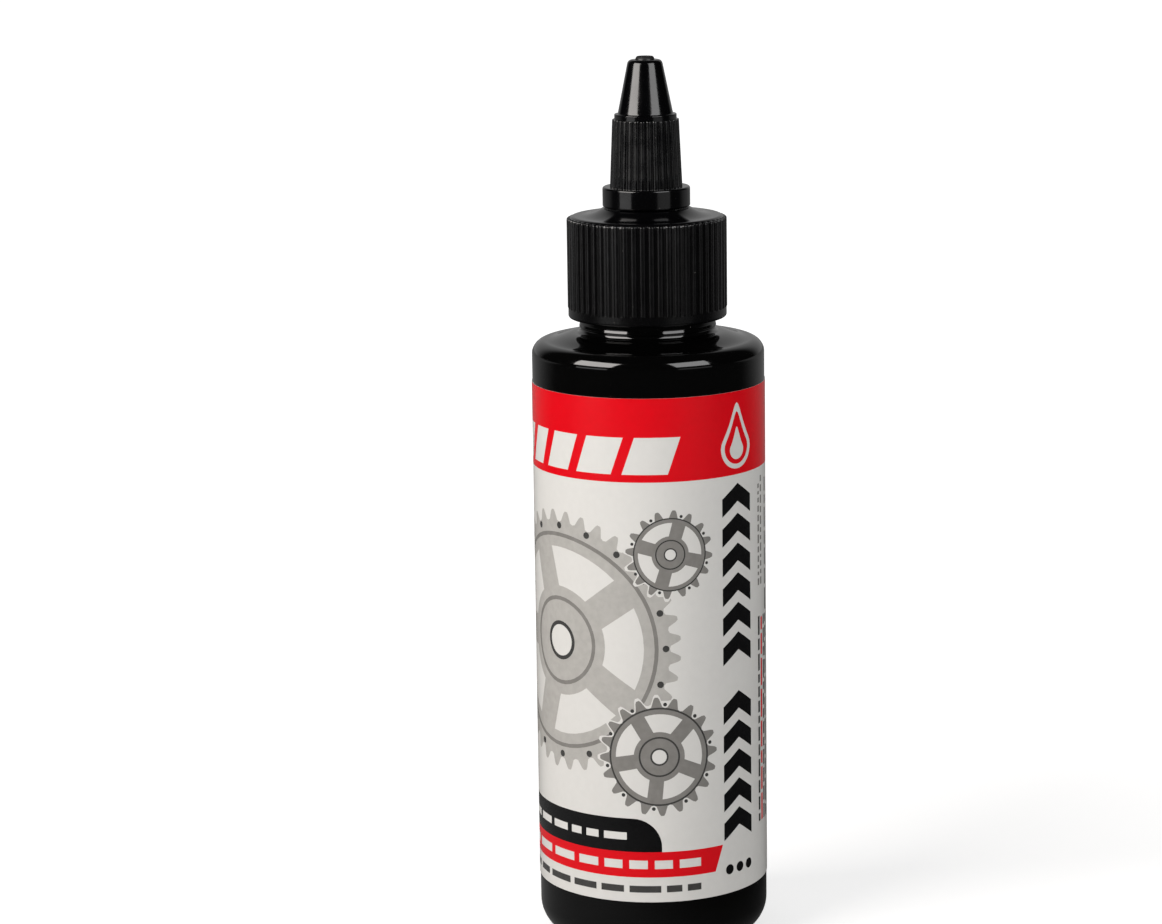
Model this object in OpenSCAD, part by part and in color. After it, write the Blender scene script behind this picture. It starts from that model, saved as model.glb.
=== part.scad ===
// Chain lube bottle: a blow-moulded cylinder bottle with a ribbed screw cap and a twist-open tip.
// Millimetres, +Z up, origin at the centre of the base on the surface it stands on.

/* [Bottle body] */
// Outer diameter of the body's straight wall
body_d = 39.74; // [36:0.02:44]
// Height from the surface it stands on to the outer edge of the shoulder
shoulder_z = 104.8; // [80:0.1:130]
// Wall thickness of the blown body
body_wall = 0.8; // [0.6:0.1:1.2]
// Thickness of the base
base_wall = 1.2; // [0.8:0.1:2]
// Radius of the edge between the side and the base
base_edge_r = 5.5; // [3:0.25:7]
// Width of the flat ring that the bottle stands on
foot_w = 1.8; // [1:0.1:3]
// Height of the dome pushed up into the base
push_up = 2.6; // [1.5:0.1:4]
// Radius of the edge between the side and the shoulder
shoulder_edge_r = 2.35; // [1.5:0.05:5]
// Rise of the shoulder from its edge to the foot of the neck
shoulder_rise = 1.25; // [0.2:0.05:1.8]
// Air space between the shoulder and the surface of the lubricant
headspace_h = 15.6; // [8:0.2:60]

/* [Neck] */
// Height of the neck from the shoulder to its sealing land
neck_h = 17.35; // [16.5:0.05:20]
// Outer diameter of the neck between its threads
neck_root_d = 21.7; // [20:0.1:24]
// Wall thickness of the neck
neck_wall = 2.05; // [1.4:0.05:2.6]
// How far the bead below the cap stands out from the neck
bead_w = 0.85; // [0.5:0.05:1.1]
// Height of the bead, with the slope on its upper side
bead_h = 0.8; // [0.6:0.1:1.6]
// Step in from the bead to the plain band above it
band_step = 0.12; // [0.06:0.02:0.3]
// Height of that plain band
band_h = 1.9; // [1.5:0.05:3]
// Radius of the fillet between the neck and the shoulder
neck_fillet_r = 0.85; // [0.6:0.05:1.4]

/* [Screw thread] */
// Rise of the thread in one turn
thread_pitch = 3.175; // [2.8:0.025:3.4]
// Length of the thread in turns
thread_turns = 1.5; // [1:0.25:2]
// Height of the thread above the wall that carries it
thread_h = 1.1; // [0.8:0.05:1.2]
// Width of the thread at its root
thread_root_w = 1.8; // [1.4:0.05:2]
// Width of the thread at its crest
thread_crest_w = 0.85; // [0.5:0.05:1]
// Drop from the sealing land to the middle of the neck thread's upper end
thread_drop = 3.4; // [2.5:0.1:4]
// Clearance between a thread's crest and the wall that it faces
thread_clear = 0.3; // [0.2:0.05:0.4]
// Play along the axis between the two threads' flanks
thread_play = 0.15; // [0.1:0.05:0.3]

/* [Screw cap] */
// Wall of the skirt between its ribs
skirt_wall = 1.03; // [0.8:0.01:1.6]
// Number of ribs round the skirt
cap_ribs = 56; // [40:1:72]
// Height of a skirt rib above the wall between ribs
cap_rib_h = 0.34; // [0.2:0.02:0.45]
// Gap between the neck's bead and the skirt's open end
rim_gap = 0.95; // [0.5:0.05:3]
// Thickness of the cap's top
deck_t = 1.6; // [1:0.1:2]
// Height of the plain band at the skirt's open end
rim_h = 1.75; // [0.8:0.05:2.4]
// Radius of the outer edge at the skirt's open end
rim_edge_r = 0.4; // [0.2:0.05:0.5]
// Radius of the edge between the skirt and the cap's top
cap_edge_r = 0.9; // [0.4:0.05:1.2]
// Drop from the cap's top to the upper ends of the ribs
rib_drop = 0.35; // [0.2:0.05:1]
// Rise from the cap's top to the seat under the tip's collar
boss_rise = 1.3; // [0.8:0.1:2]
// Radius of the hollow sweep from the cap's top up to that seat
boss_sweep_r = 7; // [6:0.5:10]
// Thickness of the sealing ring between the cap and the neck
liner_t = 1; // [0.6:0.1:1.5]
// Clearance round the outside of the sealing ring
liner_clear = 0.15; // [0.1:0.05:0.3]

/* [Spout stem] */
// Outer diameter of the stem that the tip slides on
stem_d = 8.8; // [8:0.1:11]
// Wall thickness of the stem
stem_wall = 1.4; // [1:0.1:1.6]
// Thickness of the bridge across the stem's top that carries the pin
bridge_t = 1.2; // [0.8:0.1:1.6]
// Width of the web left on each side of a flow port through the bridge
port_web = 0.1; // [0.05:0.05:0.3]
// Number of flow ports
port_count = 4; // [2:1:5]
// How far the stem's retaining ring stands out
keeper_w = 0.55; // [0.4:0.05:0.7]
// Height of the retaining ring
keeper_h = 0.8; // [0.5:0.1:1]
// How far the sealing bead at the stem's top stands out
seal_w = 0.12; // [0.06:0.02:0.16]
// Diameter of the sealing pin where it closes the orifice
pin_d = 2.1; // [1.6:0.1:2.4]
// Diameter of the sealing pin at its root
pin_root_d = 3; // [2.4:0.1:3.2]
// How far the pin's end stands above the closed tip's end face
pin_proud = 0.45; // [0:0.05:1]

/* [Twist tip] */
// Rise of the tip from closed to open
tip_travel = 3.8; // [2.5:0.1:4]
// Gap between the closed tip's collar and its seat on the cap
tip_gap = 0.2; // [0.2:0.05:0.5]
// Wall of the smooth collar
collar_wall = 2.35; // [1.4:0.01:3.5]
// Height of the smooth collar
collar_h = 3.4; // [2.5:0.1:4]
// Radius of the collar's upper edge
collar_edge_r = 0.35; // [0.3:0.05:0.8]
// Wall of the grip between its ribs, at the collar
grip_low_wall = 0.85; // [0.75:0.01:1.3]
// Wall of the grip between its ribs, at its upper end
grip_high_wall = 0.82; // [0.7:0.01:1.2]
// Height of the ribbed grip
grip_h = 11.4; // [11:0.1:13]
// Number of ribs round the grip
grip_ribs = 32; // [24:1:40]
// Height of a grip rib above the wall between ribs
grip_rib_h = 0.22; // [0.1:0.02:0.26]
// Step in from the grip's wall to the smooth ring above it
ring_step = 0.19; // [0.05:0.01:0.3]
// Height of the smooth ring
ring_h = 0.9; // [0.5:0.1:1.5]
// Width of the ledge between the smooth ring and the nozzle
ring_ledge = 0.6; // [0.3:0.05:0.8]
// Width of the nozzle's end face round the orifice
nozzle_end_w = 1.85; // [1.7:0.05:2.2]
// Height of the nozzle
nozzle_h = 9.1; // [7:0.1:11]
// Radius of the edge at the nozzle's end
nozzle_edge_r = 0.8; // [0.2:0.05:0.9]
// Wall of the nozzle
nozzle_wall = 1.15; // [0.9:0.05:1.3]
// Length of the orifice
orifice_len = 1.5; // [1:0.1:2]
// Clearance round the pin in the orifice
orifice_clear = 0.1; // [0.05:0.01:0.2]
// Width of the lip round the orifice
lip_w = 0.5; // [0.3:0.05:0.8]
// Height of the lip round the orifice
lip_h = 0.55; // [0.1:0.05:0.8]
// Clearance between the stem and the tip's bore
stem_clear = 0.25; // [0.2:0.05:0.3]
// Clearance round the stem's retaining ring
keeper_clear = 0.15; // [0.1:0.05:0.2]

/* [Label] */
// Thickness of the label film
label_t = 0.1; // [0.05:0.01:0.2]
// Thickness of the adhesive under the film
label_glue = 0.03; // [0.01:0.01:0.05]
// Bare wall left between the base's edge and the label
label_low_gap = 5; // [1:0.5:20]
// Bare wall left between the label and the shoulder's edge
label_top_gap = 4.65; // [1:0.05:20]
// Gap between the label's two ends at the back, along the wall
label_seam = 0.6; // [0.2:0.1:3]
// Height of the red field at the label's top
top_field_h = 14.2; // [5:0.1:20]
// Height of the lower edge of the red band near the label's foot, above the label's lower edge
foot_band_low = 4.4; // [2:0.1:8]
// Height of the red band near the label's foot
foot_band_h = 4.5; // [2:0.1:8]

/* [Hidden] */
$fn = 96;

// Fineness of the arcs in the outlines and of the threads
arc_steps = 8;
thread_steps = 36;
thread_fade_steps = 3;
// Depth that a ridge or a rib is rooted in the wall that carries it
root_sink = 0.25;
// Thickness of liquid film left between the lubricant and the wall, so that the two only touch
fill_clear = 0.04;

// Bottle
body_r = body_d / 2;
neck_foot_z = shoulder_z + shoulder_rise;
land_z = neck_foot_z + neck_h;
neck_root_r = neck_root_d / 2;
bead_r = neck_root_r + bead_w;
bead_low_z = neck_foot_z + neck_fillet_r;
bead_edge_r = bead_h / 3;
bead_slope_h = 0.6 * bead_h;
bead_top_z = bead_low_z + bead_h;
waist_r = bead_r - bead_edge_r;
band_r = bead_r - band_step;
band_top_z = bead_top_z + band_h;
foot_out_r = body_r - base_edge_r;
foot_in_r = foot_out_r - foot_w;
bore_r = neck_root_r - neck_wall;
fill_z = shoulder_z - headspace_h;

// Threads: the neck's crest faces the cap's bore, and the cap's crest faces the neck
thread_top_z = land_z - thread_drop;
thread_low_z = thread_top_z - thread_turns * thread_pitch;
thread_mid_w = (thread_root_w + thread_crest_w) / 2;
cap_bore_r = neck_root_r + thread_h + thread_clear;
cap_thread_low_z = thread_low_z - thread_mid_w - thread_play;

// Screw cap
deck_low_z = land_z + liner_t;
deck_z = deck_low_z + deck_t;
rim_z = bead_top_z + rim_gap;
cap_wall_r = cap_bore_r + skirt_wall;
cap_crest_r = cap_wall_r + cap_rib_h;
// The plain band at the skirt's open end, and the ribs, which stand on it
rim_r = cap_crest_r - 0.1;
rim_slope_h = 0.05;
rib_low_z = rim_z + rim_h - rim_slope_h;
rib_top_z = deck_z - rib_drop;
seat_z = deck_z + boss_rise;
stem_r = stem_d / 2;
stem_bore_r = stem_r - stem_wall;
seal_r = stem_r + seal_w;
keeper_r = stem_r + keeper_w;
pin_r = pin_d / 2;
pin_root_r = pin_root_d / 2;
pin_round_r = 0.4;
port_d = stem_bore_r - pin_root_r - 2 * port_web;
port_circle_r = (pin_root_r + stem_bore_r) / 2;

// Twist tip, closed
collar_low_z = seat_z + tip_gap;
grip_low_z = collar_low_z + collar_h;
ring_low_z = grip_low_z + grip_h;
nozzle_low_z = ring_low_z + ring_h;
nozzle_top_z = nozzle_low_z + nozzle_h;
tip_bore_r = stem_r + stem_clear;
tip_low_bore_r = keeper_r + keeper_clear;
collar_r = tip_low_bore_r + collar_wall;
grip_low_r = tip_low_bore_r + grip_low_wall;
grip_high_r = tip_bore_r + grip_high_wall;
ring_r = grip_high_r - ring_step;
nozzle_low_r = ring_r - ring_ledge;
orifice_r = pin_r + orifice_clear;
nozzle_high_r = orifice_r + nozzle_end_w;
lip_r = orifice_r + lip_w;
pin_top_z = nozzle_top_z + pin_proud;
throat_r = nozzle_low_r - nozzle_wall;
throat_top_z = nozzle_top_z - orifice_len;
throat_top_r = throat_r - (nozzle_low_r - nozzle_high_r) * (throat_top_z - nozzle_low_z) / nozzle_h;
// Solid left between the grip's bore and the ring, and the stem's end below that bore's top
bore_top_web = 1;
stem_top_gap = 0.6;
bore_top_z = ring_low_z - bore_top_web;
stem_top_z = bore_top_z - stem_top_gap;
// The tip's snap bead sits low in the collar, and the stem's ring is a full travel above it
snap_h = 0.6;
snap_low_z = collar_low_z + 1.25;
snap_top_z = snap_low_z + snap_h;
snap_r = keeper_r - 0.25;
keeper_low_z = snap_top_z + tip_travel + keeper_clear;
keeper_top_z = keeper_low_z + keeper_h;

// The cap's top sweeps up to the seat, which is as wide as the collar above it
sweep_run = sqrt(pow(boss_sweep_r, 2) - pow(boss_sweep_r - boss_rise, 2));
sweep_out_r = collar_r + sweep_run;

// Label
label_in_r = body_r + label_glue;
label_out_r = label_in_r + label_t;
label_low_z = base_edge_r + label_low_gap;
label_top_z = shoulder_z - shoulder_edge_r - label_top_gap;
seam_turn = label_seam / label_out_r * 180 / PI;
white_z = label_top_z - top_field_h;
foot_band_low_z = label_low_z + foot_band_low;
foot_band_top_z = foot_band_low_z + foot_band_h;

// Points of an arc about (cx, cz) from angle a0 to angle a1
function arc(cx, cz, r, a0, a1, n = arc_steps) =
    [for (i = [0:n]) let (a = a0 + (a1 - a0) * i / n) [cx + r * cos(a), cz + r * sin(a)]];

// A list from its last entry to its first
function backward(list) = [for (i = [len(list) - 1:-1:0]) list[i]];

// The dome of the base: a circular arc through the push-up's top and the foot ring's inner edge
function dome_r(rise, reach) = (rise * rise + reach * reach) / (2 * rise);
function dome(rise, reach, low_z, n = arc_steps) =
    let (r = dome_r(rise, reach), half = asin(reach / r))
    arc(0, low_z + rise - r, r, 90, 90 - half, n);

// The shoulder between its edge and the neck's fillet, level at both ends
edge_top_r = body_r - shoulder_edge_r;
fillet_foot_r = waist_r + neck_fillet_r;
function ease(k) = k * k * (3 - 2 * k);
shoulder_curve = [
    for (i = [1:arc_steps - 1])
        let (k = i / arc_steps)
        [edge_top_r + (fillet_foot_r - edge_top_r) * k, shoulder_z + shoulder_rise * ease(k)]
];

// Outside of the bottle, from the middle of the base up to the sealing land
outer_outline = concat(
    dome(push_up, foot_in_r, 0),
    arc(foot_out_r, base_edge_r, base_edge_r, -90, 0),
    arc(edge_top_r, shoulder_z - shoulder_edge_r, shoulder_edge_r, 0, 90),
    shoulder_curve,
    arc(fillet_foot_r, neck_foot_z + neck_fillet_r, neck_fillet_r, -90, -180),
    arc(bead_r - bead_edge_r, bead_low_z + bead_edge_r, bead_edge_r, -90, 0, 4),
    [
        [bead_r, bead_top_z - bead_slope_h],
        [band_r, bead_top_z],
        [band_r, band_top_z - 0.3],
        [band_r - 0.3, band_top_z],
        [neck_root_r, band_top_z],
        [neck_root_r, land_z]
    ]
);

// Inside of the bottle, from the sealing land down to the middle of the base
function inner_outline(gap) = concat(
    arc(bore_r + neck_fillet_r - gap, neck_foot_z, neck_fillet_r, 180, 270),
    arc(edge_top_r, shoulder_z - shoulder_edge_r, shoulder_edge_r - body_wall - gap, 90, 0),
    arc(foot_out_r, base_edge_r, base_edge_r - body_wall - gap, 0, -60),
    backward(dome(push_up, foot_in_r, base_wall + gap))
);

// A ridge wound round the Z axis: a trapezoid carried up a helix, lower at both ends
module helix_ridge(root_r, crest_r, low_z) {
    steps = ceil(thread_turns * thread_steps);
    side = sign(crest_r - root_r);
    points = [
        for (i = [0:steps])
            let (
                turn = 360 * thread_turns * i / steps,
                z = low_z + thread_pitch * turn / 360,
                full = min(1, (min(i, steps - i) + 0.6) / thread_fade_steps),
                crest = root_r + (crest_r - root_r) * full
            )
            for (p = [
                [root_r - side * root_sink, -thread_root_w / 2],
                [crest, -thread_crest_w / 2],
                [crest, thread_crest_w / 2],
                [root_r - side * root_sink, thread_root_w / 2]
            ])
                [p[0] * cos(turn), p[0] * sin(turn), z + p[1]]
    ];
    quads = [
        for (i = [0:steps - 1])
            for (j = [0:3])
                [4 * i + j, 4 * i + (j + 1) % 4, 4 * i + 4 + (j + 1) % 4, 4 * i + 4 + j]
    ];
    triangles = [for (q = quads) for (t = [[q[0], q[1], q[2]], [q[0], q[2], q[3]]]) t];
    ends = [[3, 2, 1], [3, 1, 0], [4 * steps, 4 * steps + 1, 4 * steps + 2], [4 * steps, 4 * steps + 2, 4 * steps + 3]];
    faces = concat(triangles, ends);
    polyhedron(points = points, faces = side > 0 ? faces : [for (f = faces) backward(f)]);
}

// Outline of a ribbed round: each rib rises from the wall to a slightly crowned crest
function ribbed_outline(wall_r, rib_h, count) = [
    for (i = [0:count - 1])
        for (p = [[0.12, 0], [0.3, 0.85], [0.5, 1], [0.7, 0.85], [0.88, 0]])
            let (a = 360 * (i + p[0]) / count, r = wall_r + rib_h * p[1])
            [r * cos(a), r * sin(a)]
];

// Blow-moulded bottle with its threaded neck
module bottle() {
    color([0.02, 0.02, 0.025]) {
        rotate_extrude()
            polygon(concat(outer_outline, [[bore_r, land_z]], inner_outline(0)));
        helix_ridge(neck_root_r, neck_root_r + thread_h, thread_low_z);
    }
}

// Liquid inside the bottle
module lubricant() {
    color([0.75, 0.55, 0.2])
        intersection() {
            rotate_extrude()
                polygon(concat(
                    [[0, neck_foot_z + neck_fillet_r]],
                    [[bore_r - fill_clear, neck_foot_z + neck_fillet_r]],
                    inner_outline(fill_clear)
                ));
            cylinder(r = body_r, h = fill_z);
        }
}

// One colour field of the label film, between two heights
module label_field(low_z, top_z) {
    rotate([0, 0, 90 + seam_turn / 2])
        rotate_extrude(angle = 360 - seam_turn)
            translate([label_in_r, low_z])
                square([label_t, top_z - low_z]);
}

// Wrap-round label film, printed in fields of red and white
module label() {
    color([0.8, 0.02, 0.08]) {
        label_field(white_z, label_top_z);
        label_field(foot_band_low_z, foot_band_top_z);
    }
    color([0.88, 0.88, 0.86]) {
        label_field(foot_band_top_z, white_z);
        label_field(label_low_z, foot_band_low_z);
    }
}

// Foam sealing ring between the neck's land and the cap's top
module cap_liner() {
    color([0.9, 0.9, 0.86])
        translate([0, 0, land_z])
            difference() {
                cylinder(r = cap_bore_r - liner_clear, h = liner_t);
                translate([0, 0, -1])
                    cylinder(r = bore_r, h = liner_t + 2);
            }
}

// Outline of the sealing pin above the bridge: a taper, a straight end and a rounded tip
pin_outline = concat(
    [[pin_root_r, stem_top_z], [pin_r, throat_top_z]],
    arc(pin_r - pin_round_r, pin_top_z - pin_round_r, pin_round_r, 0, 90, 4),
    [[0, pin_top_z]]
);

// Half section of the cap: skirt, top, hollow sweep, seat and the stem with its rings
cap_outline = concat(
    [
        [stem_bore_r, deck_low_z],
        [cap_bore_r, deck_low_z],
        [cap_bore_r, rim_z + rim_edge_r],
        [cap_bore_r + rim_edge_r / 2, rim_z]
    ],
    arc(rim_r - rim_edge_r, rim_z + rim_edge_r, rim_edge_r, -90, 0, 4),
    [[rim_r, rib_low_z], [cap_wall_r, rim_z + rim_h]],
    arc(cap_wall_r - cap_edge_r, deck_z - cap_edge_r, cap_edge_r, 0, 90, 6),
    arc(sweep_out_r, deck_z + boss_sweep_r, boss_sweep_r, -90, -90 - acos(1 - boss_rise / boss_sweep_r)),
    [
        [stem_r, seat_z],
        [stem_r, keeper_low_z],
        [keeper_r, keeper_low_z],
        [keeper_r, keeper_low_z + keeper_h / 2],
        [stem_r, keeper_top_z],
        [stem_r, stem_top_z - 1.4],
        [seal_r, stem_top_z - 1],
        [seal_r, stem_top_z - 0.6],
        [stem_r - 0.2, stem_top_z]
    ],
    pin_outline,
    [[0, stem_top_z - bridge_t], [stem_bore_r, stem_top_z - bridge_t]]
);

// Ribbed screw cap with its inner thread, spout stem, flow ports and sealing pin
module screw_cap() {
    color([0.06, 0.06, 0.065]) {
        difference() {
            rotate_extrude()
                polygon(cap_outline);
            for (i = [0:port_count - 1])
                rotate([0, 0, 360 * i / port_count])
                    translate([port_circle_r, 0, stem_top_z - bridge_t - 1])
                        cylinder(d = port_d, h = bridge_t + 2);
        }
        translate([0, 0, rib_low_z])
            linear_extrude(height = rib_top_z - rib_low_z)
                difference() {
                    polygon(ribbed_outline(cap_wall_r, cap_rib_h, cap_ribs));
                    circle(r = cap_wall_r - root_sink);
                }
        helix_ridge(cap_bore_r, cap_bore_r - thread_h, cap_thread_low_z);
    }
}

// Half section of the tip: collar, grip wall, ring, nozzle, lip, orifice, throat and bores
tip_outline = concat(
    [[tip_low_bore_r, collar_low_z], [collar_r - 0.2, collar_low_z], [collar_r, collar_low_z + 0.2]],
    arc(collar_r - collar_edge_r, grip_low_z - collar_edge_r, collar_edge_r, 0, 90, 5),
    [
        [grip_low_r, grip_low_z],
        [grip_high_r, ring_low_z],
        [ring_r, ring_low_z],
        [ring_r, nozzle_low_z - 0.15],
        [ring_r - 0.15, nozzle_low_z],
        [nozzle_low_r, nozzle_low_z]
    ],
    arc(nozzle_high_r - nozzle_edge_r, nozzle_top_z - nozzle_edge_r, nozzle_edge_r, 10, 90, 4),
    [
        [lip_r, nozzle_top_z],
        [lip_r - lip_w / 4, nozzle_top_z + 0.6 * lip_h],
        [lip_r - lip_w * 2 / 3, nozzle_top_z + lip_h],
        [orifice_r, nozzle_top_z + lip_h],
        [orifice_r, throat_top_z],
        [throat_top_r, throat_top_z],
        [throat_r, nozzle_low_z],
        [throat_r, bore_top_z],
        [tip_bore_r, bore_top_z],
        [tip_bore_r, keeper_top_z + 0.6],
        [tip_low_bore_r, keeper_top_z + 0.2],
        [tip_low_bore_r, snap_top_z],
        [snap_r, snap_top_z],
        [snap_r, snap_top_z - 0.2],
        [tip_low_bore_r, snap_low_z]
    ]
);

// Twist-open tip: collar, ribbed grip and nozzle in one moulding
module twist_tip() {
    grip_scale = grip_high_r / grip_low_r;
    color([0.04, 0.04, 0.045]) {
        rotate_extrude()
            polygon(tip_outline);
        translate([0, 0, grip_low_z])
            linear_extrude(height = grip_h, scale = grip_scale)
                difference() {
                    polygon(ribbed_outline(grip_low_r, grip_rib_h, grip_ribs));
                    circle(r = grip_low_r - root_sink);
                }
    }
}

bottle();
lubricant();
label();
cap_liner();
screw_cap();
twist_tip();
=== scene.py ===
# %% [markdown]
# # A chain lube bottle with a twist-open tip
#
# The object is a small squeeze bottle: a black blown body, a printed film label wrapped round it,
# a ribbed screw cap and a tip that twists up to open. The CAD model gives every size. It is loaded
# first, and nothing in it is moved. The surfaces that catch the light are then made again with more
# points, because a glossy bottle shows every facet.

# %% Load the CAD model
import math

import bmesh
import bpy
import numpy as np
from mathutils import Matrix, Vector
from mathutils.geometry import delaunay_2d_cdt


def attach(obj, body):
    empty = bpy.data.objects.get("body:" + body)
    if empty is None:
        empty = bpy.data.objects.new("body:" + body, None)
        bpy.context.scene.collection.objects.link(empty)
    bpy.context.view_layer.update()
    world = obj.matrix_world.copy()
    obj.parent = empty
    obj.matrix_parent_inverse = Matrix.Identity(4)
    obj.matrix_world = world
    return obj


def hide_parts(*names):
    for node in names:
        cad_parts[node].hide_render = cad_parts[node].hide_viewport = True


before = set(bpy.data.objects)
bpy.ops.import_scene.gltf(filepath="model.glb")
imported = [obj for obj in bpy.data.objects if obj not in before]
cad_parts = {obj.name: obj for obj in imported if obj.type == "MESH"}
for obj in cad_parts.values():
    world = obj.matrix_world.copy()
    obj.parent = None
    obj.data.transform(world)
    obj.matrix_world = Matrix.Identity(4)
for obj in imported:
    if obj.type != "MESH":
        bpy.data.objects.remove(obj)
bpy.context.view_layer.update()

print("CAD nodes:", ", ".join(sorted(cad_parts)))

# %% [markdown]
# ## Paths
#
# Nearly everything here is round, so each piece begins as a path in the (r, z) half plane: r is the
# distance from the axis and z the height, both in millimetres, as on a drawing. A path is built
# from arcs and straight runs laid end to end. Each run gets a guard point close to each of its ends,
# so that the smooth shading of a small rounding stays beside the rounding.

# %% Arcs, straight runs and whole paths
MM = 0.001


def arc(r, z, radius, start, end, steps=12):
    """Centre plus radius times (cos, sin) of an angle that goes evenly from start to end, in degrees."""
    angle = np.radians(np.linspace(start, end, steps + 1))
    return np.column_stack([r + radius * np.cos(angle), z + radius * np.sin(angle)])


def straight(start, end, guard=0.12):
    """The two ends of a straight run, and a point that lies a guard's length inside each end."""
    start, end = np.array(start, float), np.array(end, float)
    along = (end - start) / np.linalg.norm(end - start)
    return np.array([start, start + guard * along, end - guard * along, end])


def path(*pieces):
    """The pieces end to end, without points that fall on the point before them."""
    points = np.vstack([np.atleast_2d(np.asarray(piece, float)) for piece in pieces])
    step = np.linalg.norm(np.diff(points, axis=0), axis=1)
    return points[np.concatenate([[True], step > 1e-3])]


print("a quarter circle of radius 5 ends at", arc(0, 0, 5, 0, 90)[-1].round(3))

# %% [markdown]
# ## From a path to a solid
#
# A lathe turns a path into a surface. In numbers, each path point goes round the axis in steps of
# angle, which gives a grid of points with one row for each path point. A swell may be added to the
# radius, and that is how ribs are made. Neighbours in the grid are joined by four-sided faces. Then
# points that coincide are merged, which closes the seam and the poles, and the faces are turned
# outwards. The volume that comes out is printed: it is positive only if the solid is closed and
# its faces point outwards.

# %% Turning and skinning
MERGE_DISTANCE = 5e-7  # in metres


def turned(profile, angles, swell=0.0, mark=0.0):
    """x = (r + swell) cos(angle), y = (r + swell) sin(angle), z as it is, and the mark for the material."""
    shape = (len(profile), len(angles))
    radius = profile[:, :1] + swell
    return np.stack([
        np.broadcast_to(radius * np.cos(angles), shape),
        np.broadcast_to(radius * np.sin(angles), shape),
        np.broadcast_to(profile[:, 1:2], shape),
        np.broadcast_to(mark, shape),
    ], axis=-1)


def solid(name, grids, smooth=40):
    """One mesh object from closed grids, whose columns run round the axis.

    Point (i, j) is joined to (i, j + 1), (i + 1, j + 1) and (i + 1, j).
    """
    quads, first = [], 0
    for grid in grids:
        here = first + np.arange(grid[..., 0].size).reshape(grid.shape[:2])
        beside = np.roll(here, -1, axis=1)
        quads.append(np.stack([here[:-1], beside[:-1], beside[1:], here[1:]], axis=-1).reshape(-1, 4))
        first += here.size
    points = np.vstack([grid.reshape(-1, 4) for grid in grids])
    mesh = bpy.data.meshes.new(name)
    mesh.from_pydata((points[:, :3] * MM).tolist(), [], np.vstack(quads).tolist())
    marks = mesh.attributes.new("mark", "FLOAT", "POINT")
    marks.data.foreach_set("value", points[:, 3].astype(np.float32))
    shell = bmesh.new()
    shell.from_mesh(mesh)
    bmesh.ops.remove_doubles(shell, verts=shell.verts, dist=MERGE_DISTANCE)
    bmesh.ops.recalc_face_normals(shell, faces=shell.faces)
    open_edges = sum(1 for edge in shell.edges if len(edge.link_faces) != 2)
    volume = shell.calc_volume(signed=True) / MM ** 3
    shell.to_mesh(mesh)
    shell.free()
    mesh.shade_smooth()
    mesh.set_sharp_from_angle(angle=math.radians(smooth))
    piece = bpy.data.objects.new(name, mesh)
    bpy.context.scene.collection.objects.link(piece)
    print(f"{name}: {len(mesh.polygons)} faces, {volume:.0f} mm3, {open_edges} open edges")
    return piece


def round_angles(count):
    """Angles evenly spaced round the full turn, in radians."""
    return np.arange(count) * 2 * np.pi / count


# %% [markdown]
# ## Screw threads
#
# The neck and the cap carry matching ridges, one and a half turns long, that slide along each other
# as the cap turns. A ridge is a trapezoid carried up a helix. The same function makes both: the neck's
# crest points outwards and the cap's points inwards. The crest sinks away at both ends, as it does
# where the cutter of the mould runs out. The ridge's section is given by two rows of numbers: the
# share of the crest's height at each corner, and the corner's level.

# %% A ridge on a helix
THREAD_PITCH, THREAD_TURNS, THREAD_HEIGHT = 3.175, 1.5, 1.1
NECK_THREAD_Z, CAP_THREAD_Z = 115.2375, 113.7625
CORNER_SHARES = np.array([0, 0.88, 1, 1, 1, 0.88, 0, 0])
CORNER_LEVELS = np.array([-0.9, -0.5, -0.36, 0, 0.36, 0.5, 0.9, 0])
FADE_LEAD, FADE_TURN, TURN_STEPS = 0.1, 0.52, 181


def thread_ridge(root_r, crest_r, low_z, root_sink=0.25):
    """A section point (r, z) goes to (r cos(turn), r sin(turn), z + pitch * turn / full turn).

    The crest's share of the height fades to nothing at both ends.
    """
    turn = np.linspace(0, 2 * np.pi * THREAD_TURNS, TURN_STEPS)[:, None]
    rise = low_z + THREAD_PITCH * turn / (2 * np.pi)
    full = np.clip((np.minimum(turn, turn[-1] - turn) + FADE_LEAD) / FADE_TURN, 0, 1)
    root = root_r - np.sign(crest_r - root_r) * root_sink
    radius = root + (root_r - root) * np.sign(CORNER_SHARES) + (crest_r - root_r) * CORNER_SHARES * full
    height = rise + CORNER_LEVELS
    grid = np.stack([radius * np.cos(turn), radius * np.sin(turn), height, 0 * height], axis=-1)
    middle = np.broadcast_to(grid.mean(axis=1, keepdims=True), grid.shape)
    return np.concatenate([middle[:1], grid, middle[-1:]])


print("a ridge rises", THREAD_PITCH * THREAD_TURNS, "mm")

# %% [markdown]
# ## The bottle
#
# The body is PET, stretched and blown from a preform. Its neck and thread were injection moulded
# before the blowing, so they are thick and sharp, while the body has a thin, even wall and soft
# curves. The path goes from the middle of the base, over the outside, across the sealing land and
# down the inside. The shoulder rises a little towards the neck on a smooth curve, z going as
# 3t^2 - 2t^3, so that the reflections on it have no break. Two real marks are added: the gate's
# stub under the base, and the faint line where the two mould halves met, 0.02 mm high.

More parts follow.
